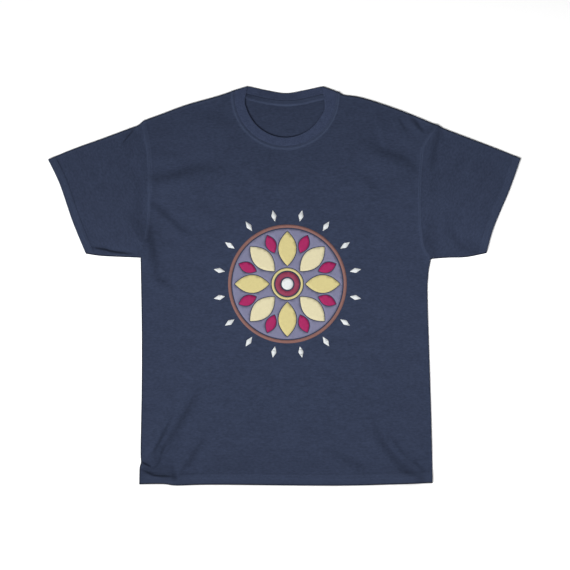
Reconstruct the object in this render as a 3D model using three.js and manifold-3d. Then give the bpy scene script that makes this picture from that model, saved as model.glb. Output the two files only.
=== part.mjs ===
// A short-sleeved crew-neck T-shirt in heavy cotton jersey, adult size L, laid flat with its front up.
//
// Units are millimetres. +Z is up, +Y runs from the hem to the neck, and +X is the wearer's left. The
// origin is at the middle of the shirt's outline, on the surface that the shirt lies on.
//
// The shirt is sewn from a front panel, a back panel, two sleeves and a rib neckband, with a tape over
// the back neck seam and a printed rosette on the chest. All of them follow one shape: the back lies on
// the surface, the front floats over it on the trapped air, and the two turn into each other in a
// rounded fold along every closed edge of the outline.

import * as THREE from "three";
import { mergeVertices } from "three/addons/utils/BufferGeometryUtils.js";
import Module from "manifold-3d";

const wasm = await Module();
wasm.setup();

// ---- Driving dimensions ----

const CLOTH = 1.0; // jersey, with the loft of its yarn
const BAND_CLOTH = 2.0; // rib knit, folded double
const FOLD_HEIGHT = 8.0; // outer height of the fold along a closed edge
const LOFT = 4.0; // how far the middle of the front rises above its edges
const LOFT_REACH = 95.0; // how far in from the edge it has risen fully
const SEAM_GAP = 0.8; // clear width of each seam between two pieces
const BAND_GAP = 1.1; // the same beside the neckband, which is thicker
const BODY_HEM = 19.0; // turned-up edge of the body
const CUFF_HEM = 17.0; // turned-up edge of a sleeve
const HEM_STEP = 1.5; // length over which a turned-up edge thins out

const NECK_CENTRE = { x: 1.2, y: 363.6 };
const NECK_SEAM_RADIUS = 98.0; // where the band is sewn to the front
const NECK_POINT_ANGLES = [174.2, 4.6]; // where that seam meets the shoulders, in degrees from +X
const TAPE_WIDTH = 9.0;
const TAPE_CLOTH = 0.8;

const INK = 0.4; // thickness of a printed field
const INK_GAP = 0.3; // its height above the cloth

const FOLD_RADIUS = (FOLD_HEIGHT - CLOTH) / 2;
const SEAM_LEVEL = FOLD_HEIGHT / 2; // where front and back meet along a closed edge

// ---- Outline ----

const points = (list) => list.map(([x, y]) => new THREE.Vector2(x, y));
const curve = (...list) => new THREE.SplineCurve(points(list));

// A point of the neck seam in front, by its angle from +X in degrees.
function onNeckSeam(degrees, inset = 0) {
  const angle = THREE.MathUtils.degToRad(degrees);
  const radius = NECK_SEAM_RADIUS - inset;
  return [NECK_CENTRE.x + radius * Math.cos(angle), NECK_CENTRE.y + radius * Math.sin(angle)];
}

const [rightNeckPoint, leftNeckPoint] = NECK_POINT_ANGLES.map((degrees) => onNeckSeam(degrees));
const rightPeak = [-70.5, 381.0];
const leftPeak = [71.5, 380.6];
const rightShoulderTip = [-271.5, 313.5];
const leftShoulderTip = [291, 308.3];
const rightArmpit = [-274, 54.3];
const leftArmpit = [278.5, 51.8];
const rightCuffTop = [-450.8, 241.5];
const rightCuffBottom = [-378.5, 62];
const leftCuffTop = [450.6, 244];
const leftCuffBottom = [384.3, 63];
const rightHemCorner = [-276.6, -378];
const leftHemCorner = [282, -376];

const hemLine = curve(rightHemCorner, [-130, -379.2], [110, -381.2], leftHemCorner);
const rightSide = curve(rightHemCorner, [-274.4, -310], [-272, -200], [-271.8, -80], rightArmpit);
const leftSide = curve(leftHemCorner, [279.6, -265], [275.3, -125], [272.4, -20], leftArmpit);
const rightArmhole = curve(rightArmpit, [-259.5, 115], [-257, 190], [-259.5, 255], rightShoulderTip);
const leftArmhole = curve(leftArmpit, [257.5, 122], [253.5, 190], [261, 262], leftShoulderTip);
const rightShoulder = curve(rightShoulderTip, [-236, 327.5], [-190, 344.5], [-130, 362], rightNeckPoint);
const leftShoulder = curve(leftNeckPoint, [113, 365], [143, 360.3], [190, 346.2], [240, 328], leftShoulderTip);
const rightSleeveTop = curve(rightShoulderTip, [-284, 304.5], [-344, 282.5], [-405, 260.5], rightCuffTop);
const leftSleeveTop = curve(leftShoulderTip, [304, 301], [343, 285.7], [404, 262.7], leftCuffTop);
const rightCuff = curve(rightCuffTop, [-428, 194], [-404, 124], rightCuffBottom);
const leftCuff = curve(leftCuffTop, [428, 182], [400, 113], leftCuffBottom);
const rightUnderarm = curve(rightArmpit, [-314, 56], [-350, 57.8], rightCuffBottom);
const leftUnderarm = curve(leftArmpit, [312, 54.4], [346, 55.6], leftCuffBottom);

// The band's free edge closes in towards the peaks where the band folds over at the shoulders.
const frontNeckEdge = curve(rightPeak, [-75.6, 355], [-56, 309], [1.2, 286], [58.5, 309], [78, 355], leftPeak);
const backNeckEdge = curve(rightPeak, [-36, 373.2], [1.4, 367.5], [36, 372.8], leftPeak);
const backNeckSeam = curve(rightNeckPoint, [-30, 352.5], [4, 349.5], [52, 356], leftNeckPoint);

// The front neck seam runs below the neck's centre, from the right shoulder to the left one.
function frontNeckSeam(share, inset = 0) {
  const [from, to] = NECK_POINT_ANGLES;
  return onNeckSeam(THREE.MathUtils.lerp(from, to + 360, share), inset);
}

// The band's own side of the back neck seam, and the corners where its two halves meet on the shoulders.
const rightBandCorner = frontNeckSeam(0, BAND_GAP);
const leftBandCorner = frontNeckSeam(1, BAND_GAP);
const backBandSeam = curve(rightBandCorner, [-30, 353.6], [4, 350.6], [52, 357.1], leftBandCorner);

// ---- Where the points of the pieces lie ----
//
// Two pieces that meet along a seam have their points at the same shares of it, so that their facets run
// side by side.

const PANEL_WIDTH = 555;
const PANEL_HEIGHT = 740;
const SLEEVE_WIDTH = 225;
const SLEEVE_LENGTH = 150;
const SHORTEST_SLEEVE_EDGE = 105;
const FRONT_NECK_LENGTH = 322;
const BACK_NECK_LENGTH = 208;
const ARMPIT_SHARE = 0.57; // of a panel's height, up from the hem
const NECK_SHARES = [0.325, 0.675]; // of a panel's width, where the neckline starts and ends
const TURN_STEPS = 4; // facets round a quarter of a fold

const evenly = (from, to, steps) =>
  Array.from({ length: steps + 1 }, (_, i) => THREE.MathUtils.lerp(from, to, i / steps));

// Shares of a length that cut a quarter of a fold, at its start, into equal turns.
const foldShares = (length) =>
  evenly(0, Math.PI / 2, TURN_STEPS).map((turn) => (FOLD_RADIUS * (1 - Math.cos(turn))) / length);

// The same at both ends, with even steps between them.
function foldedShares(length, steps) {
  const start = foldShares(length);
  const reach = start.at(-1);
  return [...start, ...evenly(reach, 1 - reach, steps).slice(1, -1), ...start.toReversed().map((s) => 1 - s)];
}

const armholeShares = foldedShares(SLEEVE_WIDTH, 7);
const frontNeckShares = foldedShares(FRONT_NECK_LENGTH, 16);
const backNeckShares = foldedShares(BACK_NECK_LENGTH, 8);

// ---- Height of the cloth ----

const FINE_STEPS = 300; // samples on an edge when the distance to it is measured
const ON_THE_EDGE = 0.02; // a point this near an edge counts as on it

function distanceTo(samples, x, y) {
  let best = Infinity;
  for (let i = 1; i < samples.length; i++) {
    const a = samples[i - 1];
    const dx = samples[i].x - a.x;
    const dy = samples[i].y - a.y;
    const share = THREE.MathUtils.clamp(((x - a.x) * dx + (y - a.y) * dy) / (dx * dx + dy * dy), 0, 1);
    best = Math.min(best, Math.hypot(x - a.x - share * dx, y - a.y - share * dy));
  }
  return best < ON_THE_EDGE ? 0 : best;
}

const closedEdges = [
  rightSide, leftSide, rightShoulder, leftShoulder, rightSleeveTop, leftSleeveTop, rightUnderarm, leftUnderarm,
].map((edge) => edge.getPoints(FINE_STEPS));
const bandFolds = [points([rightBandCorner, rightPeak]), points([leftBandCorner, leftPeak])];

const inFrom = (edges, x, y) => Math.min(...edges.map((samples) => distanceTo(samples, x, y)));

// How far the cloth has turned from upright to flat: 0 on an edge, and 1 from the fold's radius inwards.
function turned(edges, x, y) {
  const left = 1 - Math.min(inFrom(edges, x, y) / FOLD_RADIUS, 1);
  return Math.sqrt(1 - left * left);
}

// Middle of the cloth's thickness in front and at the back. The band turns over at its own folds.
function frontLevel(x, y, edges = closedEdges) {
  const loft = LOFT * THREE.MathUtils.smoothstep(inFrom(closedEdges, x, y), 0, LOFT_REACH);
  return SEAM_LEVEL + (FOLD_RADIUS + loft) * turned(edges, x, y);
}

function backLevel(x, y, edges = closedEdges) {
  return SEAM_LEVEL - FOLD_RADIUS * turned(edges, x, y);
}

// ---- Cloth pieces ----

const halfCloth = () => CLOTH / 2;

// A surface of square cells becomes a closed solid of cloth. middle[row][column] are the points in the
// middle of the cloth, and outside and inside give its reach to either side of them. A loop closes each
// row on itself.
function cloth(middle, { loop = false, outside = halfCloth, inside = halfCloth }) {
  const rows = middle.length;
  const columns = middle[0].length;
  const cells = loop ? columns : columns - 1;
  const at = (row, column) => row * columns + (column % columns);
  const place = middle.flat();
  const count = place.length;

  const faces = [];
  for (let row = 0; row < rows - 1; row++) {
    for (let column = 0; column < cells; column++) {
      const [a, b, c, d] = [at(row, column), at(row, column + 1), at(row + 1, column + 1), at(row + 1, column)];
      faces.push([a, b, c], [a, c, d]);
    }
  }
  const surface = new THREE.BufferGeometry().setFromPoints(place);
  surface.setIndex(faces.flat());
  surface.computeVertexNormals();
  const normals = place.map((_, i) => new THREE.Vector3().fromBufferAttribute(surface.attributes.normal, i));
  const moved = (reach, sign) => place.map((p, i) => p.clone().addScaledVector(normals[i], sign * reach(p)));

  const triangles = [...faces, ...faces.map(([a, b, c]) => [a + count, c + count, b + count])];
  const close = (a, b) => triangles.push([a, a + count, b + count], [a, b + count, b]);
  for (let column = 0; column < cells; column++) {
    close(at(0, column), at(0, column + 1));
    close(at(rows - 1, column + 1), at(rows - 1, column));
  }
  for (let row = 0; !loop && row < rows - 1; row++) {
    close(at(row + 1, 0), at(row, 0));
    close(at(row, columns - 1), at(row + 1, columns - 1));
  }
  const solid = new THREE.BufferGeometry().setFromPoints([...moved(outside, 1), ...moved(inside, -1)]);
  solid.setIndex(triangles.flat());
  solid.computeVertexNormals();
  return solid;
}

// A patch between four edges: bottom and top run with s, left and right with v, all from 0 to 1.
function patch({ bottom, top, left, right }) {
  return (s, v) => {
    const point = new THREE.Vector2();
    for (const axis of ["x", "y"]) {
      const across = (1 - v) * bottom(s)[axis] + v * top(s)[axis];
      const along = (1 - s) * left(v)[axis] + s * right(v)[axis];
      const low = (1 - s) * bottom(0)[axis] + s * bottom(1)[axis];
      const high = (1 - s) * top(0)[axis] + s * top(1)[axis];
      point[axis] = across + along - (1 - v) * low - v * high;
    }
    return point;
  };
}

const forwards = (edge) => (t) => edge.getPointAt(t);
const backwards = (edge) => (t) => edge.getPointAt(1 - t);

// One edge made of several curves, which meet at the given shares of it.
function joined(curves, ...meets) {
  const ends = [0, ...meets, 1];
  return (t) => {
    const i = Math.min(ends.filter((end) => end < t).length, curves.length) || 1;
    return curves[i - 1].getPointAt((t - ends[i - 1]) / (ends[i] - ends[i - 1]));
  };
}

// The cloth is double where it is turned up inside, next to an open edge.
function hemReach(openEdge, width) {
  const samples = openEdge.getPoints(FINE_STEPS);
  return ({ x, y }) => {
    const doubled = 1 - THREE.MathUtils.smoothstep(distanceTo(samples, x, y), width - HEM_STEP, width);
    return CLOTH / 2 + CLOTH * doubled * turned(closedEdges, x, y);
  };
}

// ---- Body ----

const bodyPlan = patch({
  bottom: forwards(hemLine),
  top: joined([rightShoulder, backNeckSeam, leftShoulder], ...NECK_SHARES),
  left: joined([rightSide, rightArmhole], ARMPIT_SHARE),
  right: joined([leftSide, leftArmhole], ARMPIT_SHARE),
});

// One panel of the body, from the hem upwards. level gives its height at a place on the plan.
function bodyPanel(neckShares, { shoulderSteps, sideSteps, level }) {
  const side = foldShares(PANEL_WIDTH);
  const shoulder = evenly(side.at(-1), NECK_SHARES[0], shoulderSteps).slice(1, -1);
  const half = [...side, ...shoulder];
  const neck = neckShares.map((share) => THREE.MathUtils.lerp(...NECK_SHARES, share));
  const columns = [...half, ...neck, ...half.toReversed().map((s) => 1 - s)];

  const hem = [0, BODY_HEM - HEM_STEP, BODY_HEM].map((height) => height / PANEL_HEIGHT);
  const sides = evenly(hem.at(-1), ARMPIT_SHARE, sideSteps).slice(1, -1);
  const armhole = armholeShares.toReversed().map((s) => THREE.MathUtils.lerp(1, ARMPIT_SHARE, s));
  const rows = [...hem, ...sides, ...armhole];

  return rows.map((v) =>
    columns.map((s) => {
      const { x, y } = bodyPlan(s, v);
      return new THREE.Vector3(x, y, level(x, y));
    }));
}

function toManifold(geometry) {
  const bare = geometry.clone();
  bare.deleteAttribute("normal");
  bare.deleteAttribute("uv");
  const merged = mergeVertices(bare, 1e-5);
  const vertProperties = new Float32Array(merged.attributes.position.array);
  const triVerts = new Uint32Array(merged.index.array);
  return new wasm.Manifold(new wasm.Mesh({ numProp: 3, vertProperties, triVerts }));
}

function toGeometry(manifold) {
  const { vertProperties, triVerts } = manifold.getMesh();
  const geometry = new THREE.BufferGeometry();
  geometry.setAttribute("position", new THREE.BufferAttribute(vertProperties, 3));
  geometry.setIndex(new THREE.BufferAttribute(triVerts, 1));
  geometry.computeVertexNormals();
  return geometry;
}

const ABOVE_THE_SHIRT = 30;

// The front is cut out deeper than the back, along the round neck seam.
function frontPanel() {
  const middle = bodyPanel(backNeckShares, {
    shoulderSteps: 5,
    sideSteps: 9,
    level: (x, y) => frontLevel(x, y) + SEAM_GAP / 2,
  });
  const whole = cloth(middle, { inside: hemReach(hemLine, BODY_HEM) });
  const neck = new THREE.Shape(points([
    [rightNeckPoint[0], rightNeckPoint[1] + ABOVE_THE_SHIRT],
    ...frontNeckShares.map((share) => frontNeckSeam(share)),
    [leftNeckPoint[0], leftNeckPoint[1] + ABOVE_THE_SHIRT],
  ]));
  const cutter = new THREE.ExtrudeGeometry(neck, { depth: ABOVE_THE_SHIRT, bevelEnabled: false });
  return toGeometry(toManifold(whole).subtract(toManifold(cutter)));
}

function backPanel() {
  const middle = bodyPanel(backNeckShares, {
    shoulderSteps: 3,
    sideSteps: 4,
    level: (x, y) => backLevel(x, y) - (SEAM_GAP / 2) * (1 - turned(closedEdges, x, y)),
  });
  return cloth(middle.map((row) => row.toReversed()), { inside: hemReach(hemLine, BODY_HEM) });
}

// ---- Sleeves ----

// A sleeve is one flattened tube, with its fold on top and its seam under the arm. s runs down from the
// top edge to the underarm, and v out from the armhole to the cuff.
function sleeve({ armhole, cuff, top, underarm, onRight }) {
  const plan = patch({
    bottom: backwards(armhole),
    top: forwards(cuff),
    left: forwards(top),
    right: forwards(underarm),
  });
  const seam = SEAM_GAP / SHORTEST_SLEEVE_EDGE;
  const hem = [CUFF_HEM, CUFF_HEM - HEM_STEP, 0].map((width) => 1 - width / SLEEVE_LENGTH);
  const along = [...evenly(seam, hem[0], 5).slice(0, -1), ...hem];
  const middle = along.map((v) => {
    const line = armholeShares.map((s) => plan(s, v));
    const front = line.map(({ x, y }) => new THREE.Vector3(x, y, frontLevel(x, y)));
    const back = line.slice(1, -1).map(({ x, y }) => new THREE.Vector3(x, y, backLevel(x, y)));
    const loop = [...front, ...back.toReversed()];
    return onRight ? loop.toReversed() : loop;
  });
  return cloth(middle, { loop: true, inside: hemReach(cuff, CUFF_HEM) });
}

const rightSleeve = () => sleeve({
  armhole: rightArmhole, cuff: rightCuff, top: rightSleeveTop, underarm: rightUnderarm, onRight: true,
});
const leftSleeve = () => sleeve({
  armhole: leftArmhole, cuff: leftCuff, top: leftSleeveTop, underarm: leftUnderarm, onRight: false,
});

// ---- Neck ----

const BAND_ROWS = 3;
const BAND_LIFT = (BAND_CLOTH - CLOTH) / 2; // keeps its underside level with the jersey's

// The band is one ring. Its front half runs from the right shoulder to the left one on top of the shirt,
// and its back half returns underneath.
function neckband() {
  const lift = (x, y) => BAND_LIFT * turned(bandFolds, x, y);
  const frontPoint = (share, row) => {
    const { x, y } = points([frontNeckSeam(share, BAND_GAP)])[0].lerp(frontNeckEdge.getPointAt(share), row);
    return new THREE.Vector3(x, y, frontLevel(x, y, bandFolds) + lift(x, y));
  };
  const backPoint = (share, row) => {
    const { x, y } = backBandSeam.getPointAt(share).lerp(backNeckEdge.getPointAt(share), row);
    return new THREE.Vector3(x, y, backLevel(x, y, bandFolds) + lift(x, y));
  };
  const reach = () => BAND_CLOTH / 2;
  const middle = evenly(0, 1, BAND_ROWS).map((row) => {
    const front = frontNeckShares.map((share) => frontPoint(share, row));
    const back = backNeckShares.slice(1, -1).map((share) => backPoint(share, row));
    return [...front, ...back.toReversed()];
  });
  return cloth(middle, { loop: true, outside: reach, inside: reach });
}

const TAPE_SHARES = [0.13, 0.87]; // of the back neck seam
const TAPE_STEPS = 16;

// A narrow strip sewn flat inside the back, just below the seam of the band.
function neckTape() {
  const level = CLOTH + SEAM_GAP + TAPE_CLOTH / 2;
  const middle = [TAPE_WIDTH, 0].map((drop) =>
    evenly(...TAPE_SHARES, TAPE_STEPS).map((share) => {
      const { x, y } = backNeckSeam.getPointAt(share);
      return new THREE.Vector3(x, y - SEAM_GAP - drop, level);
    }));
  const reach = () => TAPE_CLOTH / 2;
  return cloth(middle, { outside: reach, inside: reach });
}

// ---- Printed rosette ----

const ROSETTE_CENTRE = { x: 5, y: 4 };
const ROSETTE_LEVEL = FOLD_HEIGHT + LOFT + SEAM_GAP / 2 + INK_GAP; // the chest is level all round it
const HUB_RADIUS = 11;
const HUB_RING = [23, 13.5];
const INNER_RING = [30, 25.5];
const GROUND = [105, 31.5];
const OUTER_RING = [113, 107];
const PETALS = 8;
const PETAL = { from: 34.5, to: 100, half: 17 };
const LEAF = { from: 64, to: 100, half: 9.5 };
const LOZENGES = 16;
const LOZENGE = { from: 121, to: 143, half: 5 };
const TRAP = 1.5; // bare cloth left between two fields of ink
const ARC_STEPS = 6;
const CIRCLE_STEPS = 40;

// A flat shape becomes an even skin of ink over the cloth.
function printed(shape) {
  const skin = new THREE.ExtrudeGeometry(shape, { depth: INK, bevelEnabled: false, curveSegments: ARC_STEPS });
  return skin.translate(ROSETTE_CENTRE.x, ROSETTE_CENTRE.y, ROSETTE_LEVEL);
}

// Turns a place beside a ray from the rosette's centre into x and y.
const onRay = (turn) => (along, aside) => [
  along * Math.cos(turn) - aside * Math.sin(turn),
  along * Math.sin(turn) + aside * Math.cos(turn),
];

// A pointed oval that lies along a ray.
function petalOutline({ from, to, half }, turn, margin = 0) {
  const place = onRay(turn);
  const middle = (from + to) / 2;
  const bulge = 2 * (half + margin);
  const [start, end] = [place(from - margin, 0), place(to + margin, 0)];
  const outline = new THREE.Shape();
  outline.moveTo(...start);
  outline.quadraticCurveTo(...place(middle, -bulge), ...end);
  outline.quadraticCurveTo(...place(middle, bulge), ...start);
  return outline;
}

function lozengeOutline({ from, to, half }, turn) {
  const place = onRay(turn);
  const middle = (from + to) / 2;
  return new THREE.Shape(points([place(from, 0), place(middle, -half), place(to, 0), place(middle, half)]));
}

function ringOutline([outer, inner], steps = CIRCLE_STEPS) {
  const circle = (radius) => points(evenly(0, 2 * Math.PI, steps).slice(1).map((turn) => onRay(turn)(radius, 0)));
  const outline = new THREE.Shape(circle(outer));
  if (inner > 0) outline.holes.push(new THREE.Path(circle(inner)));
  return outline;
}

const turns = (count, start) => evenly(start, start + 2 * Math.PI, count).slice(0, -1);
const petalTurns = turns(PETALS, Math.PI / 2);
const leafTurns = turns(PETALS, Math.PI / 2 + Math.PI / PETALS);
const lozengeTurns = turns(LOZENGES, Math.PI / LOZENGES);

// The field behind the petals and leaves, with an opening for each of them.
function groundOutline() {
  const ground = ringOutline(GROUND);
  ground.holes.push(
    ...petalTurns.map((turn) => petalOutline(PETAL, turn, TRAP)),
    ...leafTurns.map((turn) => petalOutline(LEAF, turn, TRAP)),
  );
  return ground;
}

// ---- Materials ----

const finish = (color, roughness) => new THREE.MeshStandardMaterial({ color, roughness, metalness: 0 });
const jersey = finish(0x353d53, 0.92);
const rib = finish(0x384057, 0.92);
const tape = finish(0x3b435a, 0.9);
const ink = {
  white: finish(0xe9ecec, 0.75),
  cream: finish(0xe2d9b4, 0.75),
  custard: finish(0xd9cd92, 0.75),
  berry: finish(0xa82a63, 0.75),
  jam: finish(0x8f3f57, 0.75),
  mauve: finish(0x86635f, 0.75),
  lilac: finish(0x7f7f9b, 0.75),
};

// ---- The shirt ----

const shirt = new THREE.Group();

function add(name, geometry, material) {
  const mesh = new THREE.Mesh(geometry, material);
  mesh.name = name;
  shirt.add(mesh);
}

add("body_front", frontPanel(), jersey);
add("body_back", backPanel(), jersey);
add("sleeve_right", rightSleeve(), jersey);
add("sleeve_left", leftSleeve(), jersey);
add("neckband", neckband(), rib);
add("neck_tape", neckTape(), tape);

add("print_hub", printed(ringOutline([HUB_RADIUS, 0], 16)), ink.white);
add("print_hub_ring", printed(ringOutline(HUB_RING, 24)), ink.jam);
add("print_inner_ring", printed(ringOutline(INNER_RING, 24)), ink.custard);
add("print_ground", printed(groundOutline()), ink.lilac);
add("print_outer_ring", printed(ringOutline(OUTER_RING)), ink.mauve);
petalTurns.forEach((turn, i) => {
  add(`print_petal_${i + 1}`, printed(petalOutline(PETAL, turn)), i % 2 ? ink.cream : ink.custard);
});
leafTurns.forEach((turn, i) => {
  add(`print_leaf_${i + 1}`, printed(petalOutline(LEAF, turn)), ink.berry);
});
lozengeTurns.forEach((turn, i) => {
  add(`print_lozenge_${i + 1}`, printed(lozengeOutline(LOZENGE, turn)), ink.white);
});

// The outline is a little uneven, so its middle is found and set on the origin.
const middle = new THREE.Box3().setFromObject(shirt).getCenter(new THREE.Vector3());
shirt.position.set(-middle.x, -middle.y, 0);

export default shirt;
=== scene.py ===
"""A short-sleeved crew-neck T-shirt in heavy cotton jersey, laid flat with its front up.

The frame is the part's own: +Z is up, +Y runs from the hem to the neck and +X is the wearer's left. Places on
the plan and heights are worked out in millimetres, and a mesh is made in metres.
"""

import math

import bpy
import numpy as np
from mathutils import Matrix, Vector, geometry, kdtree, noise


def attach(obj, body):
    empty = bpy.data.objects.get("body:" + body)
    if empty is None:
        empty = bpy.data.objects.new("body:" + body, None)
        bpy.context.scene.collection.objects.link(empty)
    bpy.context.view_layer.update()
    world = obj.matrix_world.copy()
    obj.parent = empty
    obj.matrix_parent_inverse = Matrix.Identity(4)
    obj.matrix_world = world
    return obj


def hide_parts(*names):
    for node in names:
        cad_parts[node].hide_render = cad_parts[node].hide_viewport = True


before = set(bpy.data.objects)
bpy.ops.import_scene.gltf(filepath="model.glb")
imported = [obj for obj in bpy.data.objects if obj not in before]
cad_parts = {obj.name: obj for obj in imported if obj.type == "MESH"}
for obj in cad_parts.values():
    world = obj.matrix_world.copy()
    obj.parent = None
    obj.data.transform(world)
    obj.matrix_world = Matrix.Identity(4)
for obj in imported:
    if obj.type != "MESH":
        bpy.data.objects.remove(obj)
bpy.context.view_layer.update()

# ---- Body ----
#
# The body is one tube of jersey knitted without side seams, pressed flat: the back lies on the floor and the
# front floats over it on the trapped air. Its hem is turned up inside, and its neck is cut deeper in front.

MM = 0.001


def spline(*points):
    """A smooth line through points, as a fine polyline."""
    padded = np.array([points[0], *points, points[-1]], float)
    t = np.linspace(0, 1, 30, endpoint=False)[:, None]
    spans = []
    for before, start, end, after in zip(padded, padded[1:], padded[2:], padded[3:]):
        leaving = (end - before) / 2
        arriving = (after - start) / 2
        cubic = 2 * start - 2 * end + leaving + arriving
        square = 3 * end - 3 * start - 2 * leaving - arriving
        spans.append(cubic * t**3 + square * t**2 + leaving * t + start)
    return np.vstack([*spans, padded[-1:]])


def length_along(line):
    """The distance along a line from its start to each of its points."""
    return np.concatenate([[0], np.cumsum(np.linalg.norm(np.diff(line, axis=0), axis=1))])


def walked(line, step):
    """The line again, with even points about a step apart."""
    line = np.asarray(line, float)
    along = length_along(line)
    at = np.linspace(0, along[-1], max(2, round(along[-1] / step) + 1))
    return np.stack([np.interp(at, along, line[:, axis]) for axis in (0, 1)], axis=1)


def beside(points, line):
    """How far each point is to the left of a line, and the share of the line that it is beside."""
    step = np.diff(line, axis=0)
    length = np.linalg.norm(step, axis=1)
    out = points[:, None] - line[:-1]
    share = np.clip((out * step).sum(2) / length**2, 0, 1)
    out = out - share[..., None] * step
    apart = np.hypot(out[..., 0], out[..., 1])
    row = np.arange(len(points))
    nearest = apart.argmin(1)
    out = out[row, nearest]
    side = np.sign(step[nearest, 0] * out[:, 1] - step[nearest, 1] * out[:, 0])
    along = length_along(line)
    place = (along[nearest] + share[row, nearest] * length[nearest]) / along[-1]
    return apart[row, nearest] * side, place


def inset(points, lines):
    """How far each point is from the nearest of several lines."""
    return np.min([np.abs(beside(points, line)[0]) for line in lines], axis=0)


def eased(low, high, value):
    """Rises smoothly from 0 at low to 1 at high."""
    share = np.clip((value - low) / (high - low), 0, 1)
    return share * share * (3 - 2 * share)


# The outline of the flat shirt. "Right" and "left" are the wearer's.
EDGE_STEP = 3.6
NECK_CENTRE = np.array([1.2, 363.6])
NECK_SEAM_RADIUS = 97.0


def facing(turn):
    """The direction at a turn from +X in radians, or one for each of several turns."""
    return np.stack([np.cos(turn), np.sin(turn)], axis=-1)


def on_neck_seam(degrees, out=0.0):
    """Places on the front neck seam, or out from it, by their angles from +X."""
    return NECK_CENTRE + (NECK_SEAM_RADIUS + out) * facing(np.radians(degrees))


def edge(*points):
    return walked(spline(*points), EDGE_STEP)


RIGHT_NECK_TURN = 174.2
LEFT_NECK_TURN = 364.6
right_neck_point = on_neck_seam(RIGHT_NECK_TURN)
left_neck_point = on_neck_seam(LEFT_NECK_TURN)
right_shoulder_tip = (-271.5, 313.5)
left_shoulder_tip = (290.6, 307.6)
right_armpit = (-275, 53.8)
left_armpit = (278.5, 51.4)
right_cuff_top = (-451.3, 241.3)
right_cuff_bottom = (-379.1, 61.4)
left_cuff_top = (449.8, 243.5)
left_cuff_bottom = (384.3, 62.5)
right_hem_corner = (-277.5, -378)
left_hem_corner = (281.8, -375.4)

hem = edge(right_hem_corner, (-231, -377.4), (-205, -380.2), (-130, -378.8), (110, -380.5), left_hem_corner)
right_side = edge(
    right_hem_corner, (-276.9, -347), (-274.2, -335), (-275, -310), (-273, -200), (-272.8, -80), right_armpit
)
left_side = edge(
    left_hem_corner, (279.6, -265), (275.3, -125), (272.2, -20), (273.6, 22), (276.5, 40), left_armpit
)
right_armhole = edge(right_armpit, (-260.5, 115), (-258.5, 190), (-260.5, 255), right_shoulder_tip)
left_armhole = edge(
    left_armpit, (264.5, 71), (259.3, 98), (256.9, 135), (256.7, 185), (260.2, 240), (264.5, 268),
    left_shoulder_tip,
)
right_shoulder = edge(
    right_shoulder_tip, (-265, 317), (-236, 327.5), (-190, 344.5), (-130, 361.6), right_neck_point
)
left_shoulder = edge(
    left_neck_point, (105.5, 368.2), (114, 364.1), (143, 359.8), (190, 345.6), (240, 327.4), (279, 311.2),
    left_shoulder_tip,
)
right_sleeve_top = edge(
    right_shoulder_tip, (-281, 306), (-296, 300.4), (-344, 282.5), (-405, 260.5), right_cuff_top
)
left_sleeve_top = edge(
    left_shoulder_tip, (295.6, 305), (304.7, 299.8), (342.8, 285.1), (403.7, 262.1), left_cuff_top
)
right_cuff = edge(right_cuff_top, (-428.7, 193.7), (-404.7, 123.7), right_cuff_bottom)
left_cuff = edge(left_cuff_top, (427.7, 181.8), (398.9, 113), left_cuff_bottom)
right_underarm = edge(right_armpit, (-314, 55.4), (-350, 57.2), right_cuff_bottom)
left_underarm = edge(left_armpit, (312, 53.8), (346, 55.0), left_cuff_bottom)
front_neck_seam = walked(on_neck_seam(np.linspace(RIGHT_NECK_TURN, LEFT_NECK_TURN, 200)), EDGE_STEP)
back_neck_seam = edge(
    right_neck_point, (-60, 363.8), (-30, 357.3), (2, 353.9), (32, 357), (62, 363.8), left_neck_point
)
right_peak = (-70.5, 381)
left_peak = (71.5, 380.6)
NECK_OPENING = np.array([77.8, 80.1])  # half the width and the depth of the round opening in front
front_neck_edge = edge(
    right_peak,
    *(NECK_CENTRE + NECK_OPENING * facing(np.radians(np.arange(188, 353, 12)))),
    left_peak,
)
back_neck_edge = edge(right_peak, (-36, 373.2), (1.4, 367.5), (36, 372.8), left_peak)
band_folds = [
    walked([right_neck_point, right_peak], EDGE_STEP),
    walked([left_neck_point, left_peak], EDGE_STEP),
]
folded_edges = [
    right_side, left_side, right_shoulder, left_shoulder, right_sleeve_top, left_sleeve_top, right_underarm,
    left_underarm, *band_folds,
]

# How the shirt lies, as the height of its outer surface.
FLOOR_GAP = 0.3  # cloth never lies quite down
EDGE_LEVEL = 2.1  # where the front turns into the back along a folded edge
EDGE_TURN = 3.4  # radius of that turn, seen from above
EDGE_TOP = 5.2  # top of the front just inside a folded edge
LOFT = 4.8  # how much higher its middle floats
LOFT_REACH = 150.0
HEM_TOP = 4.4  # top of the front at the hem and cuffs
NECK_TOP = 4.3  # and at the free edge of the neckband
MOUTH_REACH = (-4.0, 100.0)  # the distances in from an opening between which the front rises
SETTLED = 1.5 * EDGE_TURN  # how far in from a folded edge the folds have their full height
SOFTNESS = 0.4  # how gently the front comes down on what lies under it
CLOTH = 0.9
HEM_CLOTH = 1.7  # the cloth and its turned-up edge together


def by_piece(body_value, right_value, left_value):
    return {"body": body_value, "right_sleeve": right_value, "left_sleeve": left_value}


HEM_WIDTH = by_piece(21.0, 15.0, 15.0)


def turned(from_edge):
    """How far the cloth has turned from upright to flat: 0 on a folded edge, and 1 well inside it."""
    left = 1 - np.minimum(from_edge / EDGE_TURN, 1)
    return np.sqrt(np.maximum(1 - left * left, 0))


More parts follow.
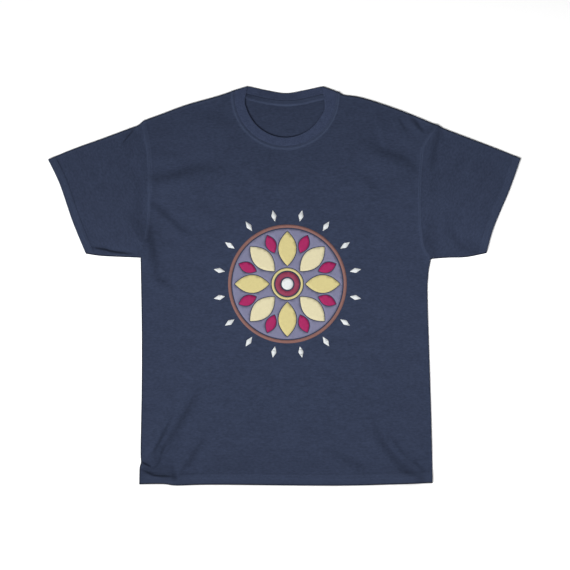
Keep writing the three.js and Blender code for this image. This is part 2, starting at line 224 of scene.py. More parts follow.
# Folds in the front. Each runs along a line with a crest on its right and a trough on its left, seen along
# the line: its points, its half width, the heights of the crest and the trough, and the share of the line
# where it is fullest. The narrow ones are pinches.
body_folds = [
    ([(-272, 199), (-228, 207), (-204, 213), (-177, 221.5), (-138, 225), (-92, 226)], 11.5, 5.0, 4.4, 0.28),
    ([(-258, 248), (-219, 251.5), (-184, 252)], 8.5, 2.0, 1.9, 0.45),
    ([(-200, 315), (-160, 321), (-131, 320.5), (-110, 315), (-92, 304)], 8.0, 1.4, 1.3, 0.6),
    (
        [(-269, 169), (-236.5, 143.7), (-218.6, 127.7), (-200.6, 110.2), (-177.5, 98.2), (-144, 89)],
        6.8, 1.8, 3.4, 0.4,
    ),
    ([(-262, 140), (-255, 98), (-251, 72), (-246, 46), (-240, 15), (-230, -14)], 10.5, 4.0, 5.4, 0.38),
    ([(-264, 25), (-233, 9), (-203, -11)], 8.0, 1.9, 1.7, 0.5),
    ([(-246, 219), (-246, 180), (-246, 148)], 8.0, 1.2, 1.2, 0.55),
    (
        [(-140, -155), (-172, -213), (-189, -243.5), (-212, -283), (-237, -318), (-253, -356)],
        10.0, 8.2, 7.4, 0.7,
    ),
    ([(-204, -228), (-233, -284), (-248.5, -313), (-259, -334)], 4.2, 4.0, 4.0, 0.6),
    ([(-137, -250), (-158, -294), (-176, -325), (-190, -347), (-206, -380)], 6.8, 4.2, 4.4, 0.76),
    ([(-279, -332), (-264.7, -339.5), (-249, -346)], 2.4, 3.4, 3.0, 0.4),
    (
        [(-280, -345), (-266, -352.3), (-255, -357.8), (-241, -361), (-222, -362), (-203, -361)],
        2.6, 4.2, 2.0, 0.52,
    ),
    ([(-229, -303), (-232, -318), (-235.5, -331), (-243, -342), (-255, -351)], 2.6, 1.7, 1.0, 0.5),
    ([(-215, -334), (-213, -352), (-207, -378)], 7.0, 3.5, 3.2, 0.6),
    ([(-277, -361), (-240, -362), (-190, -361), (-148, -358)], 7.5, 1.5, 1.5, 0.4),
    (
        [
            (148, -234), (173, -275), (188, -303), (201, -320), (213, -333), (228, -348), (246, -357),
            (270, -360),
        ],
        9.0, 6.2, 3.8, 0.84,
    ),
    (
        [(190, -268), (207, -293), (224, -314), (241, -329), (256, -341), (266, -351), (274, -360)],
        7.0, 3.7, 5.4, 0.76,
    ),
    ([(262, -280), (268, -325), (270, -358)], 9.0, 1.5, 1.4, 0.6),
    ([(84, -318), (112, -329), (135, -339), (165, -361)], 8.0, 3.0, 2.9, 0.55),
    ([(130, 277), (158, 268), (192, 254.4), (220, 243), (243, 229.3), (268, 212)], 12.5, 3.4, 2.8, 0.6),
    ([(254, 253), (237, 266), (210, 284), (177, 296)], 7.5, 1.4, 0.4, 0.5),
    ([(132, 214), (158, 199), (188, 176)], 9.5, 2.3, 1.1, 0.5),
    ([(193, 252), (179, 298), (168, 336)], 4.5, 1.1, 0.8, 0.5),
    ([(213, 328), (222, 310), (236, 288)], 3.6, 1.1, 0.9, 0.5),
    ([(235, 330), (251, 309), (270, 286)], 4.2, 2.0, 1.9, 0.5),
]
right_sleeve_folds = [
    ([(-281.5, 304), (-288, 297), (-298.5, 285), (-315.5, 265)], 2.2, 1.8, 3.2, 0.45),
    ([(-301, 148), (-284.5, 121), (-271.5, 97), (-261.5, 72)], 10.0, 1.9, 2.5, 0.55),
    ([(-268, 62), (-272, 72.5), (-282, 90), (-291.5, 106), (-300, 122)], 1.9, 1.0, 0.5, 0.4),
    ([(-280, 236), (-279, 185), (-278, 145), (-276, 102)], 10.0, 1.5, 1.6, 0.6),
    ([(-377, 74.5), (-345, 70.2), (-329.5, 66.2), (-302, 62), (-282, 60.5)], 2.95, 2.3, 3.5, 0.5),
]
left_sleeve_folds = [
    ([(300, 308), (291, 283), (285, 257), (280.5, 232), (276.5, 196)], 7.0, 3.1, 2.8, 0.28),
    ([(301, 125), (309, 112), (321, 94), (331, 78), (347, 68), (376, 73)], 8.5, 1.0, 2.4, 0.5),
    ([(333, 86), (350, 76), (378, 74)], 9.0, 0.7, 2.0, 0.5),
    ([(268, 114), (271.4, 85), (277.8, 70), (284, 52)], 8.0, 0.9, 2.4, 0.5),
]
FOLD_STEP = 4.0
FOLD_REACH = 7  # how many half widths from its line a fold ends
FLANK = 2.3  # how much wider the outer flanks are than the fall between crest and trough
PINCH = 3.0  # the half width under which a fold is a pinch
CREASE = 1.5  # half the width of the painted shade along the crease at the foot of a pinch
CREASED_TROUGH = 1.0  # a pinch whose trough is no deeper gets no painted shade
folds = [
    (walked(spline(*points), FOLD_STEP), *shape)
    for points, *shape in body_folds + right_sleeve_folds + left_sleeve_folds
]


def fullness(share, fullest):
    """How full a fold is along its line: 0 at its ends, and 1 at the share where it is fullest."""
    full = eased(0, fullest, share) * (1 - eased(fullest, 1, share))
    return 1 - (1 - full) ** 2


def relief(points):
    """Height that the folds add, each of them fading out towards its ends."""
    total = np.zeros(len(points))
    for line, half_width, crest, trough, fullest in folds:
        reach = FOLD_REACH * half_width
        near = np.all((points > line.min(0) - reach) & (points < line.max(0) + reach), axis=1)
        if not near.any():
            continue
        left, share = beside(points[near], line)
        past_crest = left + half_width
        past_trough = left - half_width
        crest_width = half_width * np.where(past_crest < 0, FLANK, 1)
        trough_width = half_width * np.where(past_trough > 0, FLANK, 1)
        rise = crest * np.exp(-((past_crest / crest_width) ** 2))
        fall = trough * np.exp(-((past_trough / trough_width) ** 2))
        total[near] += fullness(share, fullest) * (rise - fall)
    return total


# Wide shallow patches of painted shade beside seams and folds: the middle of each, how far it reaches in x
# and y, and its share of the depth of the painted shade in a pinch.
SHADE_PATCHES = [
    ((-250, 105), (42, 48), 0.3),
    ((-325, 150), (55, 45), 0.17),
    ((-245, 295), (35, 14), 0.24),
    ((-245, -355), (40, 20), 0.38),
    ((-226, -361), (14, 9), 0.38),
    ((-274, -364), (12, 14), 0.38),
    ((-100, -338), (75, 16), 0.19),
    ((226, -352), (34, 13), 0.38),
    ((205, 200), (45, 18), 0.14),
    ((281, 100), (14, 28), 0.44),
    ((395, 180), (22, 60), 0.14),
]
INNER_SHADE = 0.12  # painted shade on the back inside the neck, which lies lower than the rest that shows
INNER_REACH = (60, 89)  # how far from the middle of the neck that starts to fade, and where it ends


def shade_depth(points):
    """How much painted shade each point gets, from 0 to 1: in a pinch, in a patch and inside the neck."""
    total = INNER_SHADE * (1 - eased(*INNER_REACH, np.hypot(*(points - NECK_CENTRE).T)))
    for middle, reach, depth in SHADE_PATCHES:
        total += depth * np.exp(-(((points - middle) / reach) ** 2).sum(1))
    for line, half_width, crest, trough, fullest in folds:
        if half_width < PINCH and trough > CREASED_TROUGH:
            apart, share = beside(points, line)
            total = np.maximum(total, fullness(share, fullest) * np.exp(-((apart / CREASE) ** 2)))
    return total


WAVES = [(90.0, 0.45), (38.0, 0.16)]  # wavelength and height of the unevenness that any laid cloth has


def unevenness(points):
    total = np.zeros(len(points))
    for length, height in WAVES:
        total += [height * noise.noise(Vector((x / length, y / length, length))) for x, y in points]
    return total


LEAST_AIR = 0.3  # between the front and the back, where a fold's trough presses them together


def front_height(points):
    """Height of the front's outer surface, without what its seams add."""
    from_edge = inset(points, folded_edges)
    top = EDGE_TOP + LOFT * eased(0, LOFT_REACH, from_edge)
    for mouth, mouth_top in (([hem, right_cuff, left_cuff], HEM_TOP), ([front_neck_edge], NECK_TOP)):
        top = mouth_top + (top - mouth_top) * eased(*MOUTH_REACH, inset(points, mouth))
    flat = turned(from_edge)
    settled = eased(0, SETTLED, from_edge)
    height = EDGE_LEVEL + (top - EDGE_LEVEL) * flat + settled * (relief(points) + unevenness(points))
    lowest = FLOOR_GAP + LEAST_AIR + 2 * CLOTH
    for mouths, width in (([hem], HEM_WIDTH["body"]), ([right_cuff, left_cuff], HEM_WIDTH["left_sleeve"])):
        lowest = lowest + 2 * (HEM_CLOTH - CLOTH) * (1 - eased(width - 2, width + 2, inset(points, mouths)))
    pressed = lowest + SOFTNESS * np.logaddexp(0, (height - lowest) / SOFTNESS)
    return height + flat * (pressed - height)


def back_height(points):
    """Height of the back's outer surface, which is its underside."""
    return EDGE_LEVEL - (EDGE_LEVEL - FLOOR_GAP) * turned(inset(points, folded_edges))


def inside_of(points, outline):
    """Which points lie inside a closed outline."""
    x, y = points[:, :1], points[:, 1:]
    start = outline
    end = np.roll(outline, -1, axis=0)
    spans = (start[:, 1] > y) != (end[:, 1] > y)
    rise = np.where(end[:, 1] == start[:, 1], 1, end[:, 1] - start[:, 1])
    crossing = start[:, 0] + (y - start[:, 1]) / rise * (end[:, 0] - start[:, 0])
    return (spans & (x < crossing)).sum(1) % 2 == 1


def with_clear(placed, points, gap):
    """The points placed before, and those of some more that are further than a gap from all of them."""
    if not len(points):
        return placed
    tree = kdtree.KDTree(len(placed))
    for i, (x, y) in enumerate(placed):
        tree.insert((x, y, 0), i)
    tree.balance()
    return np.vstack([placed, points[[tree.find((x, y, 0))[2] > gap for x, y in points]]])


def unit(vectors):
    return vectors / np.linalg.norm(vectors, axis=-1, keepdims=True)


def left_of(line):
    """The direction to the left of a line, at each of its points."""
    along = np.gradient(line, axis=0)
    return unit(np.stack([-along[:, 1], along[:, 0]], axis=1))


def rows_beside(lines, offsets):
    """Points along both sides of lines, at each of the offsets from them."""
    return [line + side * offset * left_of(line) for line in lines for offset in offsets for side in (-1, 1)]


def lattice(outline, spacing, rank):
    """The points of a triangular grid that lie inside an outline. rank is the distance between its rows."""
    low, high = outline.min(0), outline.max(0)
    points = np.array([
        (x + (i % 2) * spacing / 2, y)
        for i, y in enumerate(np.arange(low[1], high[1], rank))
        for x in np.arange(low[0], high[0], spacing)
    ])
    return points[inside_of(points, outline)]


ROW_GAP = 0.5  # the least distance between the points of two rows
LATTICE_GAP = 0.62  # and between a row and the lattice, as a share of the lattice's spacing


def filled(edges, rows, spacing):
    """Points and triangles that fill an outline made of edges, with rows of points where there is detail."""
    outline = np.vstack([line[:-1] for line in edges])
    after = np.roll(outline, -1, axis=0)
    if (outline[:, 0] * after[:, 1] - outline[:, 1] * after[:, 0]).sum() < 0:
        outline = outline[::-1]
    placed = outline
    for row in rows:
        placed = with_clear(placed, row[inside_of(row, outline)], ROW_GAP)
    between = lattice(outline, spacing, spacing * math.sqrt(3) / 2)
    placed = with_clear(placed, between, LATTICE_GAP * spacing)
    made = geometry.delaunay_2d_cdt([Vector(p) for p in placed], [], [list(range(len(outline)))], 1, 1e-4)
    used = sorted({i for face in made[2] for i in face})
    place = {i: n for n, i in enumerate(used)}
    points = np.array([made[0][i] for i in used])
    return points, [[place[i] for i in face] for face in made[2]]


def in_scene(name, data):
    made = bpy.data.objects.new(name, data)
    bpy.context.scene.collection.objects.link(made)
    return made


def mesh_object(name, points, faces):
    """A smooth-shaded mesh from points in millimetres."""
    mesh = bpy.data.meshes.new(name)
    mesh.from_pydata((np.asarray(points) * MM).tolist(), [], faces)
    mesh.update()
    mesh.shade_smooth()
    return in_scene(name, mesh)


def keep_crisp(made, chosen):
    """Stops the shading from running on round an edge whose two ends are both chosen."""
    mesh = made.data
    ends = np.empty(2 * len(mesh.edges), int)
    mesh.edges.foreach_get("vertices", ends)
    crisp = np.asarray(chosen)[ends.reshape(-1, 2)].all(1)
    mesh.attributes.new("sharp_edge", "BOOLEAN", "EDGE").data.foreach_set("value", crisp)


def carry(made, name, values):
    """Gives each point of a mesh a named number, which its finish reads."""
    made.data.attributes.new(name, "FLOAT", "POINT").data.foreach_set("value", values)


FOLDED_ROWS = [0.25, 0.9, 2.0, 3.4, 5.4]  # rows round a folded edge, in from it
ON_LINE = 0.02  # a point nearer than this is on a line


def pressed_tube(name, panels, marks):
    """A tube of cloth pressed flat, from its front and back panels.

    A panel is its points, its triangles and the heights of its outer surface. marks are named lines: the mesh
    carries each point's distance from them. Where the mark "hem" is near, the cloth is double.
    """
    (front, front_faces, front_z), (back, back_faces, back_z) = panels
    plan = np.vstack([front, back])
    height = np.concatenate([front_z, back_z])
    flipped = [[i + len(front) for i in reversed(face)] for face in back_faces]
    # The two panels share the points along their folded edges.
    keys = {}
    place = []
    for i, (x, y) in enumerate(plan):
        key = (round(x, 2), round(y, 2), round(height[i], 2))
        place.append(keys.setdefault(key, i))
    kept = sorted(set(place))
    number = {i: n for n, i in enumerate(kept)}
    faces = [[number[place[i]] for i in face] for face in front_faces + flipped]
    made = mesh_object(name, np.column_stack([plan, height])[kept], faces)
    # each point carries the painted shade that it gets in pinches, patches and inside the neck
    carry(made, "crease", shade_depth(plan[kept]))
    for line_name, lines in marks.items():
        apart = inset(plan[kept], lines)
        carry(made, line_name, apart * MM)
        if line_name == "hem":
            doubled = 1 - eased(HEM_WIDTH[name] - 1.5, HEM_WIDTH[name] + 1, apart)
            share = (CLOTH + (HEM_CLOTH - CLOTH) * doubled) / HEM_CLOTH
            group = made.vertex_groups.new(name="cloth")
            for i, weight in enumerate(share):
                group.add([i], weight, "REPLACE")
    keep_crisp(made, inset(plan[kept], [front_neck_seam, back_neck_seam]) < ON_LINE)
    thickness = made.modifiers.new("cloth", "SOLIDIFY")
    thickness.thickness = HEM_CLOTH * MM
    thickness.offset = -1
    thickness.use_even_offset = False
    thickness.vertex_group = "cloth"
    return made


# What the seams and the hem do to the surface next to them.
HEM_STITCHES = by_piece((12.3, 18.4), (8.2, 13.4), (8.2, 13.4))
HEM_RISE = by_piece(0.9, 1.2, 0.6)
HEM_STEP = by_piece(4.5, 1.8, 1.8)  # the width over which it falls off
HEM_WORN = by_piece(0.11, 0.13, 0.11)  # how much lighter its surface is
HEM_SHADE = by_piece(0.45, 0.16, 0.2)  # and how much darker along the very edge
LOW_SHADE = by_piece(0.07, 0.19, 0.21)  # and along the wearer's right and the underarms
TOP_HIGHLIGHT = by_piece(0.13, 0.07, 0.07)  # and how much painted highlight lies just below the upper edges
ALLOWANCE_WIDTH = 6.5  # seam allowance of the armholes, pressed towards the body
ALLOWANCE_RISE = 0.35
ALLOWANCE_HIGHLIGHT = by_piece(0.16, 0.0, 0.0)  # how much painted highlight that of the right armhole gets
SEAM_RISE = 0.9  # the ridge that the armhole seam itself makes
SEAM_REACH = 2.8
SEAM_HIGHLIGHT = by_piece(0.2, 0.25, 0.28)  # how much lighter its surface is painted, as a painted highlight on the ridge
STITCH_GROOVE = (0.35, 1.0)  # the depth and the half width of the groove along a row of stitches
SEAM_GROOVE = (0.35, 0.6)  # and of the groove between the two cloths of a seam
NECK_RIDGE = (0.6, 8.0)  # the topstitched ridge round the neckband, from and to
NECK_RIDGE_RISE = 0.9


def groove(apart, depth, half_width):
    return -depth * np.exp(-((apart / half_width) ** 2))


def hem_rise(name, from_open_edge):
    """A turned-up edge stands proud by the cloth inside it, and its two lines of stitches sink in."""
    width = HEM_WIDTH[name]
    step = HEM_STEP[name] / 2
    risen = 1 - eased(width - step, width + step, from_open_edge)
    rise = HEM_RISE[name] * risen * eased(-1.5, 1.5, from_open_edge)
    for line in HEM_STITCHES[name]:
        rise = rise + groove(from_open_edge - line, *STITCH_GROOVE)
    return rise


def seam_rise(apart):
    """The ridge of a seam, with the fine groove between its two cloths."""
    return SEAM_RISE * np.exp(-((apart / SEAM_REACH) ** 2)) + groove(apart, *SEAM_GROOVE)


PUCKER_LENGTH = 9.0
PUCKER_HEIGHT = 0.22
PUCKER_REACH = 6.0


def puckers(line, points):
    """Small gathers that the stitches of a curved seam pull into the cloth beside it."""
    apart, share = beside(points, line)
    length = len(line) * EDGE_STEP
    uneven = 0.35 * np.sin(share * 31)
    ripple = np.sin(2 * math.pi * (share * length / PUCKER_LENGTH + uneven))
    return PUCKER_HEIGHT * ripple * np.exp(-np.abs(apart) / PUCKER_REACH) * eased(0, 2, np.abs(apart))


def body_front_height(points):
    height = front_height(points) + hem_rise("body", inset(points, [hem]))
    for line in (right_armhole, left_armhole):
        apart = np.abs(beside(points, line)[0])
        allowance = 1 - eased(ALLOWANCE_WIDTH - 1, ALLOWANCE_WIDTH + 1.5, apart)
        height += ALLOWANCE_RISE * allowance + seam_rise(apart) + puckers(line, points)
    from_neck = np.hypot(*(points - NECK_CENTRE).T) - NECK_SEAM_RADIUS
    start, end = NECK_RIDGE
    ridge = eased(start - 2, start + 3, from_neck) * (1 - eased(end - 2.2, end + 0.6, from_neck))
    return height + NECK_RIDGE_RISE * ridge


BODY_SPACING = 4.8
BACK_SPACING = 9.0

fold_rows = []
for line, half_width, *_ in sorted(folds, key=lambda fold: fold[1]):
    steps = (0.4, 0.8, 1.2, 1.8, 2.6) if half_width < PINCH else (0.65, 1.3, 2.0)
    fold_rows += [line, *rows_beside([line], [step * half_width for step in steps])]
closed_rows = rows_beside(folded_edges, FOLDED_ROWS)
hem_rows = rows_beside([hem], [1.5, 3.5, 9, 11.2, 12.5, 13.8, 15.5, 17.2, 18.5, 19.8, 21.2, 23])
armhole_rows = rows_beside([right_armhole, left_armhole], [0.8, 1.8, 3.5, 5.4, 6.6, 7.8, 10])
neck_rows = rows_beside([front_neck_seam], [0.3, 1.0, 1.8, 2.8, 4, 5.4, 6.8, 8.2, 9.8])


def body_outline(neck_seam):
    return [
        hem, left_side, left_armhole, left_shoulder[::-1], neck_seam[::-1], right_shoulder[::-1],
        right_armhole[::-1], right_side[::-1],
    ]


front_rows = closed_rows + hem_rows + armhole_rows + neck_rows + fold_rows
front, front_faces = filled(body_outline(front_neck_seam), front_rows, BODY_SPACING)
back, back_faces = filled(body_outline(back_neck_seam), closed_rows + hem_rows, BACK_SPACING)

# On the wearer's right, the seam of the armhole and its allowance get their painted highlight only above
# these places.
RIGHT_SEAM_END = 92.0
RIGHT_ALLOWANCE_END = 178.0
right_seam = right_armhole[right_armhole[:, 1] > RIGHT_SEAM_END]
right_allowance = right_armhole[right_armhole[:, 1] > RIGHT_ALLOWANCE_END]
body = pressed_tube(
    "body",
    [(front, front_faces, body_front_height(front)), (back, back_faces, back_height(back))],
    {
        "hem": [hem], "armhole": [right_seam, left_armhole], "neck": [front_neck_seam],
        "low": [right_side, hem], "top": [right_shoulder, left_shoulder], "allowance": [right_allowance],
    },
)


class Wire:
    """A node's output. Arithmetic on it adds Math nodes."""

    def __init__(self, tree, socket=None):
        self.tree = tree
        self.socket = socket

    def node(self, kind, settings=None, inputs=None, output=0):
        """Adds a node of a kind, with its settings made first and its sockets then given values or wires."""
        made = self.tree.nodes.new(kind)
        for name, value in (settings or {}).items():
            setattr(made, name, value)
        for name, value in (inputs or {}).items():
            if isinstance(value, Wire):
                self.tree.links.new(value.socket, made.inputs[name])
            else:
                made.inputs[name].default_value = value
        return Wire(self.tree, made.outputs[output] if made.outputs else None)

    def math(self, operation, *values):
        return self.node("ShaderNodeMath", {"operation": operation}, dict(enumerate(values)))

    def __add__(self, other):
        return self.math("ADD", self, other)

    def __sub__(self, other):
        return self.math("SUBTRACT", self, other)

    def __rsub__(self, other):
        return self.math("SUBTRACT", other, self)

    def __mul__(self, other):
        return self.math("MULTIPLY", self, other)

    def __truediv__(self, other):
        return self.math("DIVIDE", self, other)

    __radd__ = __add__
    __rmul__ = __mul__


def under(value, high, soft):
    """1 where a wired distance is under high, fading over a soft margin. Both are in millimetres."""
    fade = {"Value": value, "From Min": (high + soft) * MM, "From Max": (high - soft) * MM}
    return value.node("ShaderNodeMapRange", {"interpolation_type": "SMOOTHSTEP"}, fade)


def band(value, low, high, soft):
    """1 where a wired distance is between low and high, fading over a soft margin."""
    return under(value, high, soft) * (1 - under(value, low, soft))


def mixed(mask, one, other):
    """One colour where the mask is 0, and the other where it is 1."""
    return mask.node("ShaderNodeMix", {"data_type": "RGBA"}, {0: mask, 6: one, 7: other}, output=2)


def linear(red, green, blue):
    """A display colour as the linear one that a shader takes."""
    return [
        (part / 255 / 12.92 if part <= 10 else ((part / 255 + 0.055) / 1.055) ** 2.4)
        for part in (red, green, blue)
    ] + [1.0]


def new_finish(name):
    material = bpy.data.materials.new(name)
    material.use_nodes = True
    material.node_tree.nodes.clear()
    return material, Wire(material.node_tree)


SHEEN_TINT = (0.3, 0.36, 0.5, 1.0)


def finished(start, colour, roughness, height, strength, depth, sheen):
    """Joins a fabric's colour, roughness and fine relief, of a depth in millimetres, to its shader."""
    raised = {"Strength": strength, "Distance": depth * MM, "Height": height}
    bump = start.node("ShaderNodeBump", None, raised)
    shader = start.node(
        "ShaderNodeBsdfPrincipled",
        None,
        {
            "Base Color": colour,
            "Roughness": roughness,
            "Normal": bump,
            "Specular IOR Level": 0.1,
            "Sheen Weight": sheen,
            "Sheen Roughness": 0.6,
            "Sheen Tint": SHEEN_TINT,
        },
    )
    start.node("ShaderNodeOutputMaterial", None, {"Surface": shader})


WALE = 1.05 * MM  # one column of the knit
COURSE = 0.8 * MM  # one row of it
NAVY_LIGHT = linear(50.5, 59, 80.5)
NAVY_DEEP = linear(28, 34.5, 50.5)
NAVY_WORN_AND_LIT = linear(64, 74, 98)  # lighter where hems are doubled, and painted highlight on seams, ridges, upper edges and the tape
NAVY_SHADE = linear(16, 20, 32)  # painted shade in pinches and patches, and along the hem, the side and the underarms
NAVY_GAP = linear(18, 22, 34)  # between the loops of the knit
STITCH_ROW_WORN = 0.07  # how much lighter the first row of stitches is
NECK_RIDGE_HIGHLIGHT = 0.42  # and the top of the ridge round the neck, as a painted highlight
NECK_FOOT_LIGHT = 0.22  # and its foot, by the neckband, as painted light
TAPE_HIGHLIGHT = 0.42  # and the painted highlight on the neck tape
HEM_STEP_SHADE = 0.12  # how much darker the cloth is just above a hem
CREASE_SHADE = 0.55  # and in a pinch


def object_place(start):
    return start.node("ShaderNodeTexCoord", output=3)


def speckle(start, place, scale, detail=2.0):
    return start.node("ShaderNodeTexNoise", None, {"Vector": place, "Scale": scale, "Detail": detail})


def knit_loops(start, across, along, wale):
    """Height of plain knitting: columns of V-shaped loops. across and along are wired lengths."""
    column = across / wale
    middle = (start.math("FRACT", column) - 0.5) * 2
    away = start.math("ABSOLUTE", middle)
    leg = start.math("SINE", (along / COURSE + away * 0.45) * (2 * math.pi))
    return (1 - away * away) * (leg * 0.3 + 0.7)


def knitted(start, place):
    """Knitting over a whole piece, with its columns along the Y of a wired place."""
    across = start.node("ShaderNodeSeparateXYZ", None, {0: place})
    along = Wire(start.tree, across.socket.node.outputs[1])
    return knit_loops(start, across, along, WALE)


def mark(start, name):
    """A named value that a mesh carries, most of them the distance from a line."""
    return start.node("ShaderNodeAttribute", {"attribute_name": name}, output=2)


def worn_lit_and_shaded(start, cloth, piece):
    """The cloth's colour: lighter on the doubled hem, with painted highlights and painted shade."""
    from_hem = mark(start, "hem")
    from_neck = mark(start, "neck")
    from_low = mark(start, "low")
    width = HEM_WIDTH[piece]
    first_row = HEM_STITCHES[piece][0]
    seam = under(mark(start, "armhole"), 2.6, 1.6) * SEAM_HIGHLIGHT[piece]
    allowance = under(mark(start, "allowance"), 6.4, 1) * ALLOWANCE_HIGHLIGHT[piece]
    ridge = band(from_neck, 3.4, 6.8, 1.6) * NECK_RIDGE_HIGHLIGHT
    worn_and_lit = [
        band(from_hem, 2.5, width, 1.5) * HEM_WORN[piece],
        band(from_hem, first_row - 1.2, first_row + 0.8, 1) * STITCH_ROW_WORN,
        start.math("MAXIMUM", seam, allowance),
        start.math("MAXIMUM", ridge, under(from_neck, 3, 1.2) * NECK_FOOT_LIGHT),
        band(mark(start, "top"), 3.2, 6, 1.4) * TOP_HIGHLIGHT[piece],
    ]
    # painted shade along the hem's very edge, the wearer's right and the underarms, above a hem and in
    # pinches
    edges = under(from_hem, 1.5, 6) * HEM_SHADE[piece] + under(from_low, 8, 9) * LOW_SHADE[piece]
    step = band(from_hem, width + 0.4, width + 1.6, 1) * HEM_STEP_SHADE
    rim = under(from_low, 2.2, 1.4)
    deep = start.math("MAXIMUM", rim, mark(start, "crease") * CREASE_SHADE)
    return mixed(start.math("MAXIMUM", edges + step, deep), mixed(sum(worn_and_lit), cloth, NAVY_WORN_AND_LIT), NAVY_SHADE)


def jersey_finish(name, turn, piece=None, stretch=(0.42, 1.0, 0.42)):
    """Jersey with its columns turned from +Y by an angle in degrees. A named piece carries its marks."""
    material, start = new_finish(name)
    angles = (0, 0, math.radians(turn))
    grain = start.node("ShaderNodeMapping", {"vector_type": "TEXTURE"}, {0: object_place(start), 2: angles})
    loops = knitted(start, grain)
    stretched = start.node("ShaderNodeMapping", None, {0: grain, 3: stretch})
    flecks = speckle(start, stretched, 370.0)
    blotches = speckle(start, stretched, 70.0)
    shade = (flecks - 0.5) * 0.9 + (blotches - 0.5) * 0.35 + 0.5
    cloth = mixed(shade, NAVY_DEEP, NAVY_LIGHT)
    # a named piece gets painted highlights and painted shade by its marks, the neck tape its painted
    # highlight
    if piece:
        cloth = worn_lit_and_shaded(start, cloth, piece)
    else:
        cloth = mixed(mark(start, "painted_highlight") * TAPE_HIGHLIGHT, cloth, NAVY_WORN_AND_LIT)
    colour = mixed((1 - loops) * 0.22, cloth, NAVY_GAP)
    finished(start, colour, 0.86 + flecks * 0.1, loops + flecks * 0.4, 0.55, 0.22, 0.08)
    return material


body.data.materials.append(jersey_finish("jersey body", 0, "body"))
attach(body, "root")
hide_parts("body_front", "body_back")

# ---- Sleeves ----
#
# Each sleeve is one piece of jersey, folded along its top and seamed under the arm. It is set into the
# armhole with the allowance turned towards the body, and its cuff is turned up and stitched twice.

SLEEVE_SPACING = 3.6
SLEEVE_TURN = 68.0  # the knit's columns run down the sleeve


def sleeve_front_height(name, cuff, points):
    return front_height(points) + hem_rise(name, inset(points, [cuff]))


def sleeve(name, armhole, seam, top, cuff, underarm, turn, node):
    """A sleeve from its four edges. seam is the stretch of its armhole that gets a painted highlight."""
    outline = [armhole, top, cuff, underarm[::-1]]
    rows = closed_rows + rows_beside([armhole], [0.8, 1.8, 3.2, 5.0])
    rows += rows_beside([cuff], [1.5, 3.5, 6, 7.2, 8.2, 9.2, 11.5, 12.6, 13.4, 14.1, 14.8, 15.4, 16.2, 17.5])
    front, front_faces = filled(outline, rows + fold_rows, SLEEVE_SPACING)
    back, back_faces = filled(outline, rows, 2 * SLEEVE_SPACING)
    apart = np.abs(beside(front, armhole)[0])
    height = sleeve_front_height(name, cuff, front)
    height += ALLOWANCE_RISE * (1 - eased(0, 3, apart)) + seam_rise(apart) + puckers(armhole, front)
    made = pressed_tube(
        name,
        [(front, front_faces, height), (back, back_faces, back_height(back))],
        {"hem": [cuff], "armhole": [seam], "neck": [front_neck_seam], "low": [underarm], "top": [top]},
    )
    made.data.materials.append(jersey_finish("jersey " + name.replace("_", " "), turn, name, (0.6, 0.8, 0.6)))
    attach(made, "root")
    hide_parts(node)


sleeve(
    "right_sleeve", right_armhole, right_seam, right_sleeve_top, right_cuff, right_underarm, -SLEEVE_TURN,
    "sleeve_right",
)
sleeve(
    "left_sleeve", left_armhole, left_armhole, left_sleeve_top, left_cuff, left_underarm, SLEEVE_TURN,
    "sleeve_left",
)

# ---- Neckband ----
#
# A ring of one-by-one rib, folded double and sewn raw edges to the neck. Its front half lies on top of the
# shirt and its back half underneath, and it turns from one into the other over each shoulder.

BAND_CLOTH = 2.0
BAND_PROUD = 0.2  # how much higher than the jersey the band lies
RIB = 1.5  # from one rib to the next
RIB_DEPTH = 0.14
BACK_SEAM_BULK = 1.7  # the back seam's four layers and tape raise the band inside the neck
BAND_WIDTH = 19.0
SEAM_SINK = (0.15, 1.2)  # the depth and the half width of the groove along the band's seam
COLUMNS_PER_RIB = 4
ROUND_STEPS = 5  # facets round the band's free edge
RING_STEPS = 3000  # steps along each half of the ring when it is measured


def share_of(line, shares):
    """Places on a line by their shares of its length."""
    even = np.linspace(0, 1, len(line))
    return np.stack([np.interp(shares, even, line[:, axis]) for axis in (0, 1)], axis=1)


def band_surface(half, share, across):
    """Points of the band's outer surface. half is 0 in front and 1 behind. across is 0 at the seam."""
    plans = []
    for seam, free in ((front_neck_seam, front_neck_edge), (back_neck_seam, back_neck_edge)):
        start = share_of(seam, share)
        end = share_of(free, share)
        width = np.linalg.norm(end - start, axis=1)
        reach = across * (1 - BAND_CLOTH / 2 / width)
        plans.append(start + (end - start) * reach[:, None])
    plan = np.where(half[:, None] == 0, plans[0], plans[1])
    lift = BAND_PROUD * turned(inset(plan, band_folds))
    height = np.where(half == 0, front_height(plan) + lift, back_height(plan))
    return np.column_stack([plan, height])


# Ribs are evenly spaced along the ring as it lies, also where it turns over at the shoulders.
fine = np.linspace(0, 1, RING_STEPS)
ring_half = np.repeat([0.0, 1.0], RING_STEPS)
ring_share = np.concatenate([fine, fine[::-1]])
ring = band_surface(ring_half, ring_share, np.full(2 * RING_STEPS, 0.5))
ring_length = length_along(ring)
ribs = round(ring_length[-1] / RIB)
columns = ribs * COLUMNS_PER_RIB
at = np.linspace(0, ring_length[-1], columns, endpoint=False)
column_place = np.interp(at, ring_length, np.arange(2 * RING_STEPS))
column_half = (column_place >= RING_STEPS).astype(float)
column_share = np.interp(column_place, np.arange(2 * RING_STEPS), ring_share)
column_inset = eased(0, 0.12, column_share) * eased(0, 0.12, 1 - column_share)

